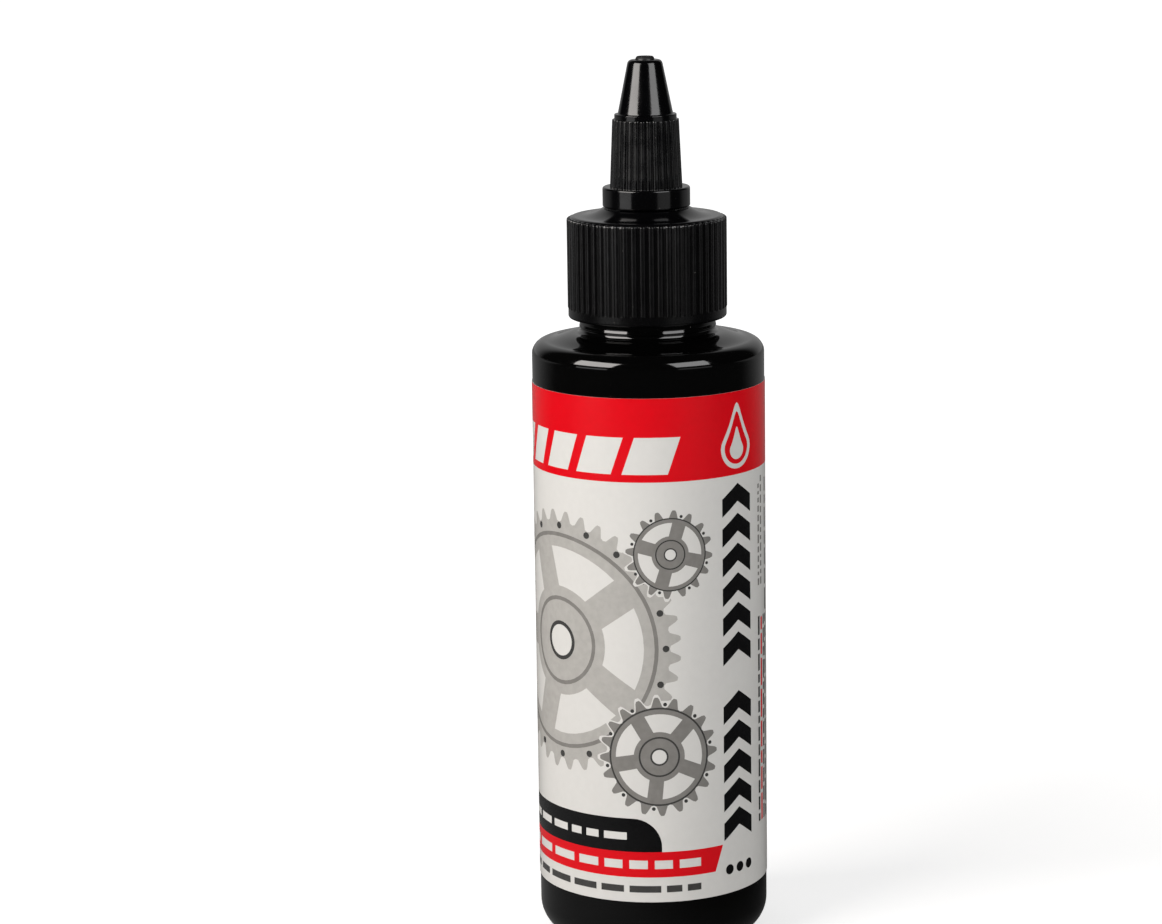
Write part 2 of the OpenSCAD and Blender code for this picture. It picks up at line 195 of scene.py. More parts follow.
# %% The bottle's outside
BODY_R, BASE_EDGE_R, SHOULDER_Z, SHOULDER_EDGE_R = 19.87, 5.5, 104.8, 2.35
FOOT_OUT_R, FOOT_IN_R, PUSH_UP, BASE_WALL, BODY_WALL = 14.37, 12.57, 2.6, 1.2, 0.8
NECK_FOOT_Z, NECK_ROOT_R, BORE_R, LAND_Z = 106.05, 10.85, 8.8, 123.4
FILLET_R, BEAD_R, BEAD_EDGE_R = 0.85, 11.7, 0.267
BEAD_LOW_Z, BEAD_SLOPE_Z, BEAD_TOP_Z = 106.9, 107.22, 107.7
BAND_R, BAND_TOP_Z = 11.58, 109.6
GATE_STUB, GATE_R = [[0, 2.3], [0.9, 2.3], [1.1, 2.38], [1.2, 2.55]], 1.3
MOULD_LINE_H, MOULD_LINE_HALF = 0.02, 0.35  # height in mm, half width in degrees


def dome(rise, reach, low_z, steps=24):
    """The arc through (0, low_z + rise) and (reach, low_z), whose radius is (rise^2 + reach^2) / (2 rise)."""
    radius = (rise ** 2 + reach ** 2) / (2 * rise)
    return arc(0, low_z + rise - radius, radius, 90, 90 - math.degrees(math.asin(reach / radius)), steps)


under = dome(PUSH_UP, FOOT_IN_R, 0)
shoulder_r = np.linspace(BODY_R - SHOULDER_EDGE_R, BEAD_R - BEAD_EDGE_R + FILLET_R, 13)
climb = np.linspace(0, 1, 13)
shoulder_rise = (NECK_FOOT_Z - SHOULDER_Z) * (3 - 2 * climb) * climb ** 2
shoulder = np.column_stack([shoulder_r, SHOULDER_Z + shoulder_rise])
bottle_outside = path(
    GATE_STUB,
    under[under[:, 0] > GATE_R],
    arc(FOOT_OUT_R, BASE_EDGE_R, BASE_EDGE_R, -90, 0, 24),
    straight((BODY_R, BASE_EDGE_R), (BODY_R, SHOULDER_Z - SHOULDER_EDGE_R)),
    arc(BODY_R - SHOULDER_EDGE_R, SHOULDER_Z - SHOULDER_EDGE_R, SHOULDER_EDGE_R, 0, 90, 24),
    shoulder,
    arc(BEAD_R - BEAD_EDGE_R + FILLET_R, NECK_FOOT_Z + FILLET_R, FILLET_R, -90, -180, 16),
    arc(BEAD_R - BEAD_EDGE_R, BEAD_LOW_Z + BEAD_EDGE_R, BEAD_EDGE_R, -90, 0, 8),
    straight((BEAD_R, BEAD_SLOPE_Z), (BAND_R, BEAD_TOP_Z), 0.06),
    straight((BAND_R, BEAD_TOP_Z), (BAND_R, BAND_TOP_Z - 0.3)),
    straight((BAND_R - 0.3, BAND_TOP_Z), (NECK_ROOT_R, BAND_TOP_Z)),
    straight((NECK_ROOT_R, BAND_TOP_Z), (NECK_ROOT_R, LAND_Z - 0.2)),
    [[NECK_ROOT_R - 0.2, LAND_Z]],
)
print("the outside path has", len(bottle_outside), "points and reaches r =", bottle_outside[:, 0].max(), "mm")

# %% The bottle's inside, and the whole bottle
bottle_inside = path(
    [[BORE_R + 0.15, LAND_Z], [BORE_R, LAND_Z - 0.15]],
    arc(BORE_R + FILLET_R, NECK_FOOT_Z, FILLET_R, 180, 270, 10),
    arc(BODY_R - SHOULDER_EDGE_R, SHOULDER_Z - SHOULDER_EDGE_R, SHOULDER_EDGE_R - BODY_WALL, 90, 0, 12),
    arc(FOOT_OUT_R, BASE_EDGE_R, BASE_EDGE_R - BODY_WALL, 0, -60, 10),
    dome(PUSH_UP, FOOT_IN_R, BASE_WALL, 12)[::-1],
)
mould_line = np.radians(np.array([-1.2, -0.6, -0.3, 0, 0.3, 0.6, 1.2]))
bottle_angles = np.sort(np.concatenate([round_angles(288), mould_line % (2 * np.pi), mould_line + np.pi]))
bottle_angles = bottle_angles[np.diff(bottle_angles, prepend=-1) > 1e-4]
bottle_path = path(bottle_outside, bottle_inside)
off_line = np.abs((bottle_angles + np.pi / 2) % np.pi - np.pi / 2)
on_blown_wall = (np.arange(len(bottle_path)) < len(bottle_outside)) & (bottle_path[:, 1] < NECK_FOOT_Z)
line_height = MOULD_LINE_H * np.exp(-(np.degrees(off_line) / MOULD_LINE_HALF) ** 2)
line_height = line_height * on_blown_wall[:, None] * (bottle_path[:, :1] > FOOT_IN_R)
bottle_skin = solid("bottle_blown", [
    turned(bottle_path, bottle_angles, line_height),
    thread_ridge(NECK_ROOT_R, NECK_ROOT_R + THREAD_HEIGHT, NECK_THREAD_Z),
])
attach(bottle_skin, "bottle")
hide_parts("bottle")

# %% [markdown]
# ## The screw cap
#
# The cap is one polypropylene moulding: a skirt with 56 ribs, a top, a hollow sweep up to the
# seat of the tip, and the stem that the tip slides on. At the stem's top a bridge with four flow
# ports carries the pin that closes the orifice. The path goes from the middle of the bridge down the
# bore, across the top's underside, up the outside and over the pin to its end. The ribs are a swell
# of the radius that repeats round the skirt: flat between ribs, a steep flank, and a slightly crowned
# crest. They stand on the plain band of the rim and run up to the rounded edge of the top, where the
# crests bend inwards over their last 0.2 mm.

# %% Ribs as a swell of the radius
RIB_PHASES = np.array([0, 0.12, 0.18, 0.24, 0.3, 0.4, 0.5, 0.6, 0.7, 0.76, 0.82, 0.88])
RIB_HEIGHTS = np.array([0, 0, 0.2, 0.65, 0.85, 0.965, 1, 0.965, 0.85, 0.65, 0.2, 0])


def rib_round(ribs, skip=()):
    """The angles round a ribbed piece, and at each of them the share of the rib's full height."""
    keep = np.setdiff1d(np.arange(len(RIB_PHASES)), skip)
    angles = (np.arange(ribs)[:, None] + RIB_PHASES[keep]) * 2 * np.pi / ribs
    return angles.ravel(), np.tile(RIB_HEIGHTS[keep], ribs)


CAP_RIBS, CAP_RIB_H, CAP_WALL_R, CAP_BORE_R = 56, 0.34, 13.28, 12.25
RIM_Z, RIB_LOW_Z, RIB_TOP_Z, DECK_LOW_Z, DECK_Z, SEAT_Z = 108.65, 110.35, 125.65, 124.4, 126.0, 127.3
RIM_R, RIM_EDGE_R, CAP_EDGE_R, SWEEP_R, SWEEP_OUT_R, COLLAR_R = 13.52, 0.4, 0.9, 7.0, 11.513, 7.45
STEM_R, STEM_BORE_R, KEEPER_R, SEAL_R, STEM_TOP_Z, BRIDGE_T = 4.4, 3.0, 4.95, 4.52, 140.7, 1.2
KEEPER_LOW_Z, KEEPER_TOP_Z, RIM_SLOPE, CREST_BEND = 133.3, 134.1, 0.05, 0.2
PIN_ROOT_R, PIN_R, PIN_STRAIGHT_Z, PIN_TOP_Z, PIN_ROUND_R = 1.5, 1.05, 150.8, 152.75, 0.4
print("a rib of the cap is", round(2 * math.pi * CAP_WALL_R / CAP_RIBS, 2), "mm wide with its gap")

# %% The cap's path and skin
sweep_end = math.degrees(math.acos(1 - (SEAT_Z - DECK_Z) / SWEEP_R))
cap_path = path(
    [[0, STEM_TOP_Z - BRIDGE_T]],
    straight((STEM_BORE_R, STEM_TOP_Z - BRIDGE_T), (STEM_BORE_R, DECK_LOW_Z)),
    straight((STEM_BORE_R, DECK_LOW_Z), (CAP_BORE_R, DECK_LOW_Z)),
    straight((CAP_BORE_R, DECK_LOW_Z), (CAP_BORE_R, RIM_Z + RIM_EDGE_R)),
    [[CAP_BORE_R + RIM_EDGE_R / 2, RIM_Z]],
    arc(RIM_R - RIM_EDGE_R, RIM_Z + RIM_EDGE_R, RIM_EDGE_R, -90, 0, 8),
    straight((RIM_R, RIM_Z + RIM_EDGE_R), (RIM_R, RIB_LOW_Z)),
    straight((CAP_WALL_R, RIB_LOW_Z + RIM_SLOPE), (CAP_WALL_R, DECK_Z - CAP_EDGE_R)),
    arc(CAP_WALL_R - CAP_EDGE_R, DECK_Z - CAP_EDGE_R, CAP_EDGE_R, 0, 90, 12),
    straight((CAP_WALL_R - CAP_EDGE_R, DECK_Z), (SWEEP_OUT_R, DECK_Z)),
    arc(SWEEP_OUT_R, DECK_Z + SWEEP_R, SWEEP_R, -90, -90 - sweep_end, 16),
    straight((COLLAR_R - 0.05, SEAT_Z), (STEM_R, SEAT_Z)),
    straight((STEM_R, SEAT_Z), (STEM_R, KEEPER_LOW_Z)),
    [[KEEPER_R, KEEPER_LOW_Z], [KEEPER_R, KEEPER_LOW_Z + 0.4], [STEM_R, KEEPER_TOP_Z]],
    [[STEM_R, STEM_TOP_Z - 1.4], [SEAL_R, STEM_TOP_Z - 1], [SEAL_R, STEM_TOP_Z - 0.6]],
    straight((STEM_R - 0.2, STEM_TOP_Z), (PIN_ROOT_R, STEM_TOP_Z)),
    straight((PIN_ROOT_R, STEM_TOP_Z), (PIN_R, PIN_STRAIGHT_Z)),
    arc(PIN_R - PIN_ROUND_R, PIN_TOP_Z - PIN_ROUND_R, PIN_ROUND_R, 0, 90, 8),
    [[0, PIN_TOP_Z]],
)
cap_angles, cap_rib = rib_round(CAP_RIBS, skip=(2, 10))
cap_r, cap_z = cap_path.T
on_skirt = (cap_z > RIB_LOW_Z + 0.8 * RIM_SLOPE) & (cap_z <= RIB_TOP_Z) & (cap_r > CAP_BORE_R + 0.5)
crest_r = CAP_WALL_R + CAP_RIB_H - CREST_BEND * np.clip((cap_z - RIB_TOP_Z) / CREST_BEND + 1, 0, 1) ** 2
cap_swell = (on_skirt * (crest_r - cap_r))[:, None] * cap_rib
crest_mark = on_skirt[:, None] * cap_rib
cap_skin = solid("screw_cap_shell", [turned(cap_path, cap_angles, cap_swell, crest_mark)], smooth=50)

# %% [markdown]
# The four flow ports go straight through the bridge. Round holes don't fit a turned grid, so they
# are cut with the Boolean modifier, whose result is then kept as the mesh. The inner thread is
# added after the cut, as a second closed skin rooted in the skirt's wall.

# %% Flow ports and the inner thread
PORT_R, PORT_CIRCLE_R, PORT_COUNT = 0.65, 2.25, 4
DRILL_LOW_Z, DRILL_TOP_Z = STEM_TOP_Z - 2, STEM_TOP_Z + 0.5
drill = path([[0, DRILL_LOW_Z], [PORT_R, DRILL_LOW_Z], [PORT_R, DRILL_TOP_Z], [0, DRILL_TOP_Z]])
drills = []
for port_angle in round_angles(PORT_COUNT):
    hole = turned(drill, round_angles(24))
    hole[..., 0] += PORT_CIRCLE_R * math.cos(port_angle)
    hole[..., 1] += PORT_CIRCLE_R * math.sin(port_angle)
    drills.append(hole)
port_drill = solid("port_drill", drills)
cut = cap_skin.modifiers.new("ports", "BOOLEAN")
cut.object, cut.operation, cut.solver = port_drill, "DIFFERENCE", "EXACT"
cap_thread = solid("cap_thread", [thread_ridge(CAP_BORE_R, CAP_BORE_R - THREAD_HEIGHT, CAP_THREAD_Z)])
cut_mesh = bpy.data.meshes.new_from_object(cap_skin.evaluated_get(bpy.context.evaluated_depsgraph_get()))
cap_skin.modifiers.clear()
joined = bmesh.new()
joined.from_mesh(cut_mesh)
joined.from_mesh(cap_thread.data)
joined.to_mesh(cap_skin.data)
joined.free()
cap_skin.data.shade_smooth()
cap_skin.data.set_sharp_from_angle(angle=math.radians(50))
for spare in (port_drill, cap_thread):
    bpy.data.objects.remove(spare)
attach(cap_skin, "cap")
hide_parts("screw_cap")
print("the cap has", len(cap_skin.data.polygons), "faces with its ports and thread")

# %% [markdown]
# ## The twist tip
#
# The tip is one moulding too: a smooth collar, a grip with 32 ribs that narrows upwards, a ring, and
# the nozzle with a lip round its orifice. It slides on the stem from closed to open. The grip's ribs
# narrow with its wall, so their height is scaled by the wall's radius. The mark that goes with each
# point is 1 on the grip's crests, whose mould was blasted, 0.2 between them, and 0 on the polished
# collar and nozzle.

# %% The tip's path and skin
COLLAR_LOW_Z, GRIP_LOW_Z, RING_LOW_Z, NOZZLE_LOW_Z, NOZZLE_TOP_Z = 127.5, 130.9, 142.3, 143.2, 152.3
SNAP_LOW_Z, SNAP_TOP_Z, SNAP_R = 128.75, 129.35, 4.7
BORE_STEP_Z, BORE_TOP_Z, THROAT_TOP_Z = 134.3, 141.3, 150.8
GRIP_LOW_R, GRIP_HIGH_R, RING_R, NOZZLE_LOW_R, NOZZLE_HIGH_R = 5.95, 5.47, 5.28, 4.68, 3.0
TIP_BORE_R, TIP_LOW_BORE_R, THROAT_R, THROAT_TOP_R, ORIFICE_R = 4.65, 5.1, 3.53, 2.13, 1.15
GRIP_RIBS, GRIP_RIB_H, COLLAR_EDGE_R, NOZZLE_EDGE_R = 32, 0.22, 0.35, 0.8
LIP_R, LIP_END_R, LIP_TOP_Z, GAP_MARK = 1.65, 1.317, 152.85, 0.2
tip_path = path(
    straight((TIP_LOW_BORE_R, COLLAR_LOW_Z), (COLLAR_R - 0.2, COLLAR_LOW_Z)),
    straight((COLLAR_R, COLLAR_LOW_Z + 0.2), (COLLAR_R, GRIP_LOW_Z - COLLAR_EDGE_R)),
    arc(COLLAR_R - COLLAR_EDGE_R, GRIP_LOW_Z - COLLAR_EDGE_R, COLLAR_EDGE_R, 0, 90, 12),
    straight((COLLAR_R - COLLAR_EDGE_R, GRIP_LOW_Z), (GRIP_LOW_R, GRIP_LOW_Z), 0.08),
    straight((GRIP_LOW_R, GRIP_LOW_Z), (GRIP_HIGH_R, RING_LOW_Z - 0.1)),
    [[GRIP_HIGH_R, RING_LOW_Z]],
    straight((RING_R, RING_LOW_Z), (RING_R, NOZZLE_LOW_Z - 0.15)),
    arc(RING_R - 0.15, NOZZLE_LOW_Z - 0.15, 0.15, 0, 90, 5),
    arc(NOZZLE_LOW_R + 0.15, NOZZLE_LOW_Z + 0.15, 0.15, -90, -169, 5),
    straight((NOZZLE_LOW_R - 0.03, NOZZLE_LOW_Z + 0.2), (NOZZLE_HIGH_R + 0.02, NOZZLE_TOP_Z - NOZZLE_EDGE_R)),
    arc(NOZZLE_HIGH_R - NOZZLE_EDGE_R, NOZZLE_TOP_Z - NOZZLE_EDGE_R, NOZZLE_EDGE_R, 10, 90, 10),
    [[NOZZLE_HIGH_R - NOZZLE_EDGE_R - 0.12, NOZZLE_TOP_Z], [LIP_R, NOZZLE_TOP_Z]],
    [[LIP_R - 0.03, NOZZLE_TOP_Z + 0.1], [LIP_R - 0.125, NOZZLE_TOP_Z + 0.33]],
    [[LIP_R - 0.2, NOZZLE_TOP_Z + 0.44], [LIP_END_R, LIP_TOP_Z]],
    [[ORIFICE_R + 0.05, LIP_TOP_Z], [ORIFICE_R, LIP_TOP_Z - 0.05]],
    [[ORIFICE_R, THROAT_TOP_Z], [THROAT_TOP_R, THROAT_TOP_Z], [THROAT_R, NOZZLE_LOW_Z]],
    [[THROAT_R, BORE_TOP_Z], [TIP_BORE_R, BORE_TOP_Z]],
    [[TIP_BORE_R, BORE_STEP_Z + 0.4], [TIP_LOW_BORE_R, BORE_STEP_Z], [TIP_LOW_BORE_R, SNAP_TOP_Z]],
    [[SNAP_R, SNAP_TOP_Z], [SNAP_R, SNAP_TOP_Z - 0.2], [TIP_LOW_BORE_R, SNAP_LOW_Z]],
    [[TIP_LOW_BORE_R, COLLAR_LOW_Z]],
)
tip_angles, tip_rib = rib_round(GRIP_RIBS)
tip_r, tip_z = tip_path.T
along_grip = (tip_z >= GRIP_LOW_Z) & (tip_z < RING_LOW_Z) & (tip_r > RING_R) & (tip_r <= GRIP_LOW_R + 1e-6)
grip_end = (tip_z == RING_LOW_Z) & (tip_r == GRIP_HIGH_R)
rib_height = GRIP_RIB_H * tip_r / GRIP_LOW_R * (along_grip + 0.5 * grip_end)
grip_mark = (along_grip | grip_end)[:, None] * (GAP_MARK + (1 - GAP_MARK) * tip_rib)
grip_swell = rib_height[:, None] * tip_rib
tip_skin = solid("twist_tip_moulded", [turned(tip_path, tip_angles, grip_swell, grip_mark)], smooth=50)
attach(tip_skin, "tip")
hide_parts("twist_tip")

# %% [markdown]
# ## The label
#
# The label is a polypropylene film, printed flat, cut to length and wrapped once round the bottle,
# with a small gap at the back. It is made the same way here: first the print is laid out on the
# flat sheet, where s is the distance along the wrap from the middle of the front and z the height.
# Each printed shape is an outline in (s, z) with the name of its ink, and later shapes cover earlier
# ones. The design is generic: slanted blocks, a drop, a column of chevrons and cog wheels.

# %% Flat shapes for the print
FILM_R, GLUE_R, BACK_GAP = 20.0, 19.9, 0.6
FILM_LOW, FILM_TOP, FILM_END = 10.5, 97.8, math.pi * FILM_R - BACK_GAP / 2


def block(s0, s1, z0, z1, lean=0.0):
    """Four corners of a bar; lean moves its upper edge along s."""
    return np.array([[s0, z0], [s1, z0], [s1 + lean, z1], [s0 + lean, z1]], float)


def pill(s0, s1, z0, z1, radius):
    """A bar with rounded corners: four quarter circles joined by straight edges."""
    return np.vstack([
        arc(s1 - radius, z0 + radius, radius, -90, 0, 5),
        arc(s1 - radius, z1 - radius, radius, 0, 90, 5),
        arc(s0 + radius, z1 - radius, radius, 90, 180, 5),
        arc(s0 + radius, z0 + radius, radius, 180, 270, 5),
    ])


def disc(s, z, radius, sides=24):
    """A circle as a closed ring of points."""
    return arc(s, z, radius, 0, 360 - 360 / sides, sides - 1)


def cog(s, z, root_r, tip_r, teeth, turn=0.0):
    """A ring of points whose radius goes from root to tip and back once for each tooth."""
    phase = np.array([0, 0.16, 0.34, 0.42, 0.58, 0.66, 0.84])
    reach = np.array([0, 0.1, 0.8, 1, 1, 0.8, 0.1])
    angle = ((np.arange(teeth)[:, None] + phase) * 2 * np.pi / teeth + turn).ravel()
    radius = root_r + (tip_r - root_r) * np.tile(reach, teeth)
    return np.column_stack([s + radius * np.cos(angle), z + radius * np.sin(angle)])


def chevron(s0, s1, z, thick, rise):
    """A bar bent upwards in the middle by rise."""
    mid, top = (s0 + s1) / 2, z + thick
    return np.array([[s0, z], [mid, z + rise], [s1, z], [s1, top], [mid, z + rise + thick], [s0, top]], float)


def drop(s, z, radius, peak):
    """A circle drawn up to a point: with up = sin(a) above the middle and 0 below it, s gets
    r cos(a) (1 - 0.45 up^2) and z gets r sin(a) + peak * up^4.
    """
    angle = np.linspace(-np.pi, np.pi, 37)[:-1] - np.pi / 2
    up = np.clip(np.sin(angle), 0, 1)
    half_width = radius * np.cos(angle) * (1 - 0.45 * up ** 2)
    return np.column_stack([s + half_width, z + radius * np.sin(angle) + peak * up ** 4])


print("the film is", round(2 * FILM_END, 1), "x", round(FILM_TOP - FILM_LOW, 1), "mm")

# %% The main fields and large motifs
RED_LOW_Z, STRIPE_LOW_Z, STRIPE_TOP_Z = 83.6, 14.9, 19.4
BLOCKS_LEFT, BLOCKS_LOW_Z, BLOCKS_TOP_Z, BLOCK_GAP = -31.5, 84.9, 91.2, 1.9
COLUMN_LEFT, COLUMN_RIGHT, COLUMN_TOP_Z, COLUMN_PITCH = 13.1, 20.3, 76.6, 5.15
sheet_print = [
    ("white", block(-FILM_END, FILM_END, FILM_LOW, FILM_TOP)),
    ("red", block(-FILM_END, FILM_END, RED_LOW_Z, FILM_TOP)),
    ("red", block(-50, 11.2, STRIPE_LOW_Z, STRIPE_TOP_Z, lean=1.6)),
    ("black", path(
        [[-44, STRIPE_TOP_Z], [1.5, STRIPE_TOP_Z]],
        arc(-3.5, STRIPE_TOP_Z + 0.9, 5, 0, 90, 10),
        [[-44, 25.3]],
    )),
]
left = BLOCKS_LEFT
for width in (3.0, 4.2, 5.4, 6.6, 7.8):
    sheet_print.append(("white", block(left, left + width, BLOCKS_LOW_Z, BLOCKS_TOP_Z, lean=2.2)))
    left += width + BLOCK_GAP
for ink, z, radius, peak in (("white", 88.3, 3.7, 3.9), ("red", 88.3, 2.9, 3.2), ("white", 87.9, 1.7, 2.2)):
    sheet_print.append((ink, drop(16.6, z, radius, peak)))
for row in range(12):
    if row != 6:
        low_z = COLUMN_TOP_Z - COLUMN_PITCH * row
        sheet_print.append(("black", chevron(COLUMN_LEFT, COLUMN_RIGHT, low_z, 3.1, 2.4)))
for dot in range(3):
    sheet_print.append(("black", disc(14.3 + 2.5 * dot, 14.7, 0.9, 16)))
print(len(sheet_print), "large shapes")

# %% Cog wheels
def wheel(s, z, tip_r, teeth, windows, body, rim, turn=0.0):
    """A sprocket in print: white outline, toothed body, rim line, windows, drilled dots and hub.

    Every radius is a share of the tip's radius.
    """
    depth = 0.55 * 2 * math.pi * tip_r / teeth
    shapes = [
        ("white", cog(s, z, tip_r - depth + 0.5, tip_r + 0.5, teeth, turn)),
        (body, cog(s, z, tip_r - depth, tip_r, teeth, turn)),
        (rim, disc(s, z, 0.83 * tip_r, 64)),
        (body, disc(s, z, 0.80 * tip_r, 64)),
    ]
    for step in range(windows):
        middle = turn + 2 * math.pi * step / windows
        half = 0.36 * 2 * math.pi / windows
        around = np.linspace(middle - half, middle + half, 9)
        inner = np.linspace(middle + 0.75 * half, middle - 0.75 * half, 7)
        window = np.vstack([
            0.72 * tip_r * np.column_stack([np.cos(around), np.sin(around)]),
            0.42 * tip_r * np.column_stack([np.cos(inner), np.sin(inner)]),
        ])
        shapes.append(("white", window + [s, z]))
    for step in range(teeth // 2):
        angle = turn + 4 * math.pi * step / teeth
        dot_s, dot_z = s + 0.885 * tip_r * math.cos(angle), z + 0.885 * tip_r * math.sin(angle)
        shapes.append(("graphite", disc(dot_s, dot_z, 0.021 * tip_r + 0.12, 10)))
    return shapes + [
        (rim, disc(s, z, 0.34 * tip_r, 40)),
        (body, disc(s, z, 0.31 * tip_r, 40)),
        ("graphite", disc(s, z, 0.15 * tip_r, 32)),
        ("white", disc(s, z, 0.12 * tip_r, 32)),
    ]


sheet_print += wheel(-17.5, 55.0, 22.6, 40, 5, "silver", "steel")
sheet_print += wheel(1.2, 36.2, 10.4, 20, 5, "steel", "graphite", 0.2)
sheet_print += wheel(3.4, 71.2, 7.6, 16, 4, "steel", "graphite", 0.5)
print(len(sheet_print), "shapes with the wheels")

# %% [markdown]
# Small print is drawn as rows of plain bars, the way a designer blocks in a layout before there is
# any text. The lengths come from a seeded generator, so each run gives the same sheet.

# %% Rows of plain bars
draw = np.random.default_rng(7)
SHORTEST, BAR_GAP = 0.35, 0.8  # shares of the longest bar and of a bar's height


def bar_rows(ink, s0, s1, z_levels, height, longest):
    """Bars of random length from s0 to s1 on each level, with a gap that is a share of their height."""
    shapes = []
    for level in z_levels:
        s = s0
        while s < s1 - 1:
            length = min(draw.uniform(SHORTEST, 1) * longest, s1 - s)
            shapes.append((ink, block(s, s + length, level, level + height)))
            s += length + height * BAR_GAP
    return shapes


def bar_columns(ink, s_levels, z0, z1, width, longest):
    """The same rows of bars turned upright, as print that runs up the label."""
    rows = bar_rows(ink, z0, z1, s_levels, width, longest)
    return [(name, shape[:, ::-1][::-1]) for name, shape in rows]


sheet_print += bar_rows("white", -30, -4, [21.5], 1.3, 4.5)
sheet_print += bar_rows("white", -30, 9, [16.4], 1.5, 6)
sheet_print += bar_rows("graphite", -31, 10, [12.2], 1.2, 5.5)
sheet_print += bar_columns("steel", [23.2, 24.4], 63.0, 82.0, 0.7, 1.6)
sheet_print += bar_columns("graphite", [23.2, 25.8], 21.0, 58.5, 0.8, 3.4)
sheet_print += bar_columns("red", [24.5], 21.0, 58.5, 0.8, 5.2)
sheet_print += bar_columns("graphite", [27.1], 21.0, 82.0, 0.8, 4.2)
sheet_print += bar_rows("graphite", 34, 58, np.arange(52, 80, 2.3), 0.9, 6)
sheet_print += bar_rows("graphite", 34, 58, np.arange(24, 46, 2.3), 0.9, 5)
sheet_print += bar_rows("steel", -59, -38, np.arange(56, 80, 2.3), 0.9, 6)
sheet_print += [("red", block(34, 58, 48.2, 49.2))]
sheet_print += [("black", pill(-58, -46, 30, 42, 1.5)), ("white", disc(-52, 36, 4, 32))]
print(len(sheet_print), "shapes in all, with inks", ", ".join(sorted({ink for ink, _ in sheet_print})))

# %% [markdown]
# ### Cutting the sheet into inks and wrapping it
#
# Delaunay triangulation cuts the sheet along every outline, and says which outlines each triangle
# lies in, so its ink is that of the last of them. Upright lines every 1.5 mm are cut in as well,
# because the sheet has to bend. Then (s, z) becomes (R sin(s / R), -R cos(s / R), z), which
# wraps the sheet without stretching it. The same triangles turned over are the glued side, and
# the outer edges are joined to close the film. The normals of a cylinder are known, so they are
# given to the mesh as they are, and thin triangles don't disturb the gloss.

# %% Triangles and their inks
FOLD_STEP, CUT_EPSILON = 1.5, 1e-5
corners, outlines = [], []
for ink, shape in sheet_print:
    outlines.append(list(range(len(corners), len(corners) + len(shape))))
    corners += list(map(Vector, shape.tolist()))
folds = FOLD_STEP * np.arange(-41, 42)
fold_ends = [Vector((s, z)) for s in folds for z in (FILM_LOW, FILM_TOP)]
fold_lines = [(len(corners) + 2 * i, len(corners) + 2 * i + 1) for i in range(len(folds))]
flat, _, triangles, _, _, inside = delaunay_2d_cdt(
    corners + fold_ends, fold_lines, outlines, 0, CUT_EPSILON, True,
)
flat, triangles = np.array(flat), np.array(triangles)
inks = ["white", "red", "black", "graphite", "steel", "silver"]
ink_of = np.array([inks.index(sheet_print[max(shapes)][0]) for shapes in inside])
print(len(triangles), "triangles;", {ink: int((ink_of == i).sum()) for i, ink in enumerate(inks)})

# %% The wrapped film
def wrap(flat, radius):
    """(s, z) goes to (R sin a, -R cos a, z), where a is s divided by the film's outer radius."""
    angle = flat[:, 0] / FILM_R
    return np.column_stack([radius * np.sin(angle), -radius * np.cos(angle), flat[:, 1]])


count = len(flat)
edges = np.vstack([triangles[:, [0, 1]], triangles[:, [1, 2]], triangles[:, [2, 0]]])
_, first, uses = np.unique(np.sort(edges, axis=1), axis=0, return_index=True, return_counts=True)
border = edges[first[uses == 1]]
rim_faces = np.column_stack([border[:, ::-1], border + count])
faces = triangles.tolist() + (triangles[:, ::-1] + count).tolist() + rim_faces.tolist()
film_mesh = bpy.data.meshes.new("label_film")
film_points = np.vstack([wrap(flat, FILM_R), wrap(flat, GLUE_R)]) * MM
film_mesh.from_pydata(film_points.tolist(), [], faces)
white_rest = np.zeros(len(faces) - len(ink_of), int)
slot_of = np.concatenate([ink_of, white_rest]).astype(np.int32)
film_mesh.polygons.foreach_set("material_index", slot_of)
film_mesh.shade_smooth()
corner_of = np.concatenate([triangles.ravel(), triangles[:, ::-1].ravel(), rim_faces.ravel() % count])
turn = flat[corner_of, 0] / FILM_R
radial = np.column_stack([np.sin(turn), -np.cos(turn), 0 * turn])
side = np.repeat([1.0, -1.0, 0.0], [triangles.size, triangles.size, rim_faces.size])[:, None]
film_mesh.update()
flat_normals = np.zeros(3 * len(faces), np.float32)
film_mesh.polygons.foreach_get("normal", flat_normals)
rim_normals = np.repeat(flat_normals.reshape(-1, 3)[-len(rim_faces):], 4, axis=0)
normals = radial * side
normals[-len(rim_normals):] = rim_normals
film_mesh.normals_split_custom_set(normals.tolist())
film = bpy.data.objects.new("label_film", film_mesh)
bpy.context.scene.collection.objects.link(film)
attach(film, "bottle")
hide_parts("label")
outward = flat_normals.reshape(-1, 3)[0] @ radial[0]
print("film:", len(faces), "faces; the first face looks", "outwards" if outward > 0 else "inwards")

# %% [markdown]
# ## Materials
#
# The helpers come first. Colours are written as the sRGB hex values that a colour picker shows, and
# one function turns them into the linear numbers that light adds up in. Another adds one
# shader node with its settings and links, so that each material below reads as a list of what
# it is made of. Patterns use Object coordinates, in metres, so a scale is 1 over a real size.
# Fine grain is a bump 0.01 mm deep, and a strength is the share of that depth.

# %% Colour and node helpers
FINE_DEPTH = 0.01 * MM


def srgb(code):
    """Linear red, green, blue and alpha of a hex code.

    A channel c becomes c / 12.92 if it is dark, and ((c + 0.055) / 1.055)^2.4 if not.
    """
    channel = np.array([int(code[i:i + 2], 16) for i in (1, 3, 5)]) / 255
    linear = np.where(channel <= 0.04045, channel / 12.92, ((channel + 0.055) / 1.055) ** 2.4)
    return (*linear.tolist(), 1.0)


